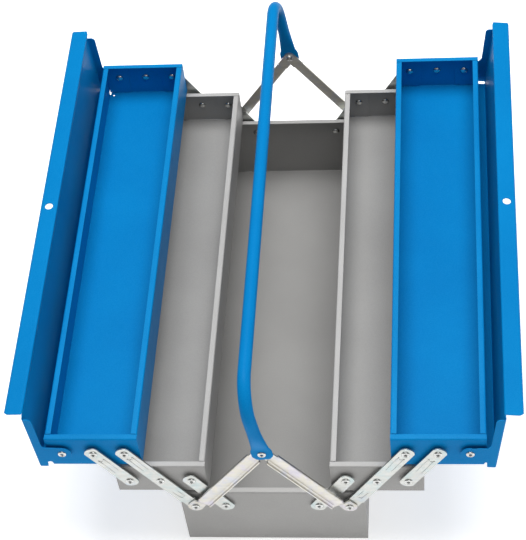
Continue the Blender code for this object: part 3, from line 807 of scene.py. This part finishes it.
def lid_path():
    """A closed lid's section from its lip over its panel and step to the flange's rolled top."""
    level, free = LID_RISE - SHEET / 2, SHEET / 2 - FLANGE_FROM_PIVOT
    outer, top = LID_OVERHANG - SHEET / 2, LID_RISE + FLANGE_HEIGHT - FLANGE_HEM
    path = fillet([(outer, LID_RISE - LID_LIP), (outer, level), (-FLAP_REACH, level),
                   (free, level - LID_STEP), (free, top)], FOLD)
    on_panel = level - LID_STEP + FOLD / 2
    path = add_points(path, lambda a, b: min(a.y, b.y) > on_panel and (b - a).length > LID_FLAT)
    return path + [Vector(spot) for spot in arc((free + FLANGE_HEM, top), FLANGE_HEM, 172, 104, 9)]


def lid_reaches(point):
    """How far the lid runs to the front and to the rear at a point of its section."""
    level = LID_RISE - SHEET / 2
    panel = END + LID_END_OFFSET + SHEET / 2 - FOLD
    if point.x > LID_OVERHANG - SHEET / 2 - FOLD / 2 and point.y < level - FOLD / 2:
        return panel - LIP_CUTBACK, panel - LIP_CUTBACK
    if point.x < SHEET / 2 - FLANGE_FROM_PIVOT + FLANGE_HEM and point.y > level - LID_STEP + FOLD / 2:
        top = LID_RISE + FLANGE_HEIGHT
        return [END + FLANGE_END_OFFSET - corner + math.sqrt(max(
            corner ** 2 - max(point.y - (top - corner), 0) ** 2, FLANGE_TIP ** 2))
            for corner in (FLANGE_CORNER, FLANGE_REAR_CORNER)]
    return panel, panel


def add_lid(label, side):
    """A lid's panel with its lip and flange, its padlock hole and its two end flaps."""
    node = f"{label}_lid"
    place = lid_place(label, side)
    inner = END - 2 * FLANGE_CORNER
    rows = []
    for point in lid_path():
        front, rear = lid_reaches(point)
        rows.append([place @ Vector((point.x, y, point.y)) for y in (-front, -inner, inner, rear)])
    bm = bmesh.new()
    grid(bm, rows)
    panel = add_piece(f"{node}_panel", bm, BLUE, node, [node], sheet=SHEET, bevel=SHEET_EDGE)
    spot = place @ Vector((SHEET / 2 - FLANGE_FROM_PIVOT, 0, LID_RISE + PADLOCK_RISE))
    turn = place.to_3x3().to_4x4() @ Matrix.Rotation(math.pi / 2, 4, "Y")
    drill(panel, PADLOCK_HOLE, Matrix.Translation(spot) @ turn, 32)
    for where, end in ENDS.items():
        add_flap(f"{node}_{where}_flap", node, place, end)


def add_flap(name, node, place, end):
    """An end flap, folded down from the lid's panel, with its ear round the pivot."""
    y = END + LID_END_OFFSET + SHEET / 2
    level = LID_RISE - SHEET / 2
    outer = LID_OVERHANG - FLAP_INSET
    low = LID_RISE - FLAP_DEPTH
    tip = -FLAP_REACH
    heel = FLAP_EAR_RADIUS + FLAP_HEEL
    outline = [(outer, low), (FLAP_EAR_HEEL, low - FLAP_HEEL)]
    outline += arc((0, 0), FLAP_EAR_RADIUS, 0, -180, 20)
    outline += [(-heel, low - FLAP_CORNER)]
    outline += arc((-heel - FLAP_CORNER, low - FLAP_CORNER), FLAP_CORNER, 15, 90, 6)
    outline += arc((tip + FLAP_CORNER, low + FLAP_CORNER), FLAP_CORNER, 270, 180, 8)
    bm = bmesh.new()

    def spot(a, reach, b):
        return bm.verts.new(place @ Vector((a, end * reach, b)))

    rim = [spot(a, y, b) for a, b in outline]
    previous = [spot(outer, y, level - FOLD), spot(tip, y, level - FOLD)]
    bm.faces.new([previous[0], *rim, previous[1]])
    for k in range(1, 7):
        angle = math.pi / 2 * k / 6
        reach, b = y - FOLD + FOLD * math.cos(angle), level - FOLD + FOLD * math.sin(angle)
        current = [spot(outer, reach, b), spot(tip, reach, b)]
        bm.faces.new([current[0], previous[0], previous[1], current[1]])
        previous = current
    bmesh.ops.triangulate(bm, faces=[face for face in bm.faces if len(face.verts) > 4])
    bmesh.ops.recalc_face_normals(bm, faces=bm.faces)
    add_piece(name, bm, BLUE, node, [node], sheet=SHEET, bevel=FLAP_EDGE)


# Handle -----------------------------------------------------------------------------------------


def handle_sections():
    """Sections up one leg: (height, half width, half depth, squareness, share of the way to the tube).

    Squareness is 1 for a round section and less for a flat one.
    """
    tube = HANDLE_TUBE / 2
    thinnest = 0.9 * HANDLE_EAR_SHEET / 2
    keys = [  # lengths in millimetres
        (-9.8, 7.0, 1.15, 0.45, 0), (-9.4, 7.8, 1.25, 0.45, 0), (-6.0, 10.6, 1.25, 0.45, 0),
        (-4.5, 11.1, 1.25, 0.45, 0), (1.0, 11.25, 1.25, 0.45, 0), (4.5, 11.1, 1.25, 0.45, 0),
        (6.5, 10.5, 1.3, 0.48, 0), (9.0, 9.4, 1.5, 0.52, 0.03), (12.0, 8.9, 1.9, 0.58, 0.1),
        (17.0, 8.4, 2.7, 0.68, 0.28), (23.0, 7.9, 4.0, 0.8, 0.54), (30.0, 7.4, 5.3, 0.9, 0.78),
        (36.0, 7.05, 6.2, 0.96, 0.93), (43.0, 6.85, 6.7, 1, 1),
    ]
    rows = [(h * MM, w * MM, max(d * MM, thinnest), s, share) for h, w, d, s, share in keys]
    rows.append((HANDLE_REACH - HANDLE_BEND, tube, tube, 1, 1))
    return rows


def handle_stations():
    """Sections along the upright handle: (centre, direction, half width, half depth, squareness)."""
    tube = HANDLE_TUBE / 2
    ear_offset = HANDLE_EAR + HANDLE_EAR_SHEET / 2
    up = Vector((0, 0, 1))
    stations = []
    for height, width, depth, squareness, share in handle_sections():
        offset = ear_offset + (HANDLE_TUBE_OFFSET - ear_offset) * share
        stations.append((Vector((0, -END - offset, height)), up, width, depth, squareness))
    centre = Vector((0, -END - HANDLE_TUBE_OFFSET + HANDLE_BEND, HANDLE_REACH - HANDLE_BEND))
    for a in angles(0, 90, 20)[1:]:
        spot = centre + Vector((0, -math.cos(a), math.sin(a))) * HANDLE_BEND
        stations.append((spot, Vector((0, math.sin(a), math.cos(a))), tube, tube, 1))
    rear = [(Vector((spot.x, -spot.y, spot.z)), Vector((0, along.y, -along.z)), *section)
            for spot, along, *section in reversed(stations)]
    return stations + rear


def add_handle():
    """The handle and the two rivets it turns on."""
    apex = PIVOTS["handle_hinge"]
    lean = Matrix.Translation(Vector((apex.x, 0, apex.z))) @ Matrix.Rotation(-HANDLE_LEAN, 4, "Y")
    rings = []
    for spot, along, width, depth, squareness in handle_stations():
        across = Vector((0, along.z, -along.y))
        ring = []
        for i in range(HANDLE_SIDES):
            angle = math.tau * i / HANDLE_SIDES
            c, s = math.cos(angle), math.sin(angle)
            x = width * math.copysign(abs(c) ** squareness, c)
            y = depth * math.copysign(abs(s) ** squareness, s)
            ring.append(lean @ (spot + Vector((x, 0, 0)) + across * y))
        rings.append(ring)
    bm = bmesh.new()
    loft(bm, rings)
    handle = add_piece("handle_tube", bm, BLUE, "handle", ["handle"], closed=True)
    handle.data.set_sharp_from_angle(angle=math.radians(50))
    for where, end in ENDS.items():
        add_rivet(f"{where}_handle_rivet", "base_frame", apex, end, ARM_WEB, HANDLE_EAR + HANDLE_EAR_SHEET)


# Studio -----------------------------------------------------------------------------------------


def add_floor():
    bm = bmesh.new()
    grid(bm, [[(x, y, 0) for y in (-FLOOR_REACH, FLOOR_REACH)] for x in (-FLOOR_REACH, FLOOR_REACH)])
    mesh = bpy.data.meshes.new("floor")
    bm.to_mesh(mesh)
    bm.free()
    mesh.materials.append(floor_paper())
    floor = bpy.data.objects.new("floor", mesh)
    floor.location.z = -FLOOR_GAP
    bpy.context.scene.collection.objects.link(floor)


def add_softbox(name, place, size, power):
    """A rectangular light that faces the box."""
    light = bpy.data.lights.new(name, "AREA")
    light.shape = "RECTANGLE"
    light.size, light.size_y = size
    light.energy = power
    lamp = bpy.data.objects.new(name, light)
    lamp.location = place
    lamp.rotation_euler = (LIGHT_AIM - Vector(place)).to_track_quat("-Z", "Y").to_euler()
    bpy.context.scene.collection.objects.link(lamp)


def add_studio():
    add_floor()
    for name, softbox in SOFTBOXES.items():
        add_softbox(name, *softbox)
    world = bpy.data.worlds.new("studio")
    world.use_nodes = True
    world.node_tree.nodes["Background"].inputs["Color"].default_value = (1, 1, 1, 1)
    world.node_tree.nodes["Background"].inputs["Strength"].default_value = SKY_STRENGTH
    bpy.context.scene.world = world
    bpy.context.scene.view_settings.view_transform = "Standard"


def add_camera():
    level = Vector((math.cos(CAMERA_YAW), math.sin(CAMERA_YAW), 0))
    forward = Vector((-level.y, level.x, 0)) * math.cos(CAMERA_PITCH)
    forward.z = math.sin(CAMERA_PITCH)
    up = level.cross(forward)
    right = level * math.cos(CAMERA_ROLL) + up * math.sin(CAMERA_ROLL)
    top = up * math.cos(CAMERA_ROLL) - level * math.sin(CAMERA_ROLL)
    camera = bpy.data.cameras.new("camera")
    camera.lens = CAMERA_LENS
    camera.clip_start = CAMERA_CLIP
    eye = bpy.data.objects.new("camera", camera)
    turn = Matrix((right, top, -forward)).transposed().to_4x4()
    eye.matrix_world = Matrix.Translation(CAMERA_PLACE) @ turn
    bpy.context.scene.collection.objects.link(eye)
    bpy.context.scene.camera = eye


# Assembly ---------------------------------------------------------------------------------------


def main():
    add_camera()
    add_tray("base", "base_frame", GREY)
    for label, side in SIDES.items():
        add_tray(f"{label}_middle_tray", f"{label}_middle_tray", GREY)
        upper = add_tray(f"{label}_upper_tray", f"{label}_upper_tray", BLUE, side)
        drill_drain(upper, f"{label}_upper_tray", side)
        add_lid(label, side)
        side_links(label)
        side_rivets(label)
        for where, end in ENDS.items():
            add_arm(f"{where}_{label}_arm", side, end, PIVOTS[f"{label}_swing"])
    add_handle()
    add_studio()


main()
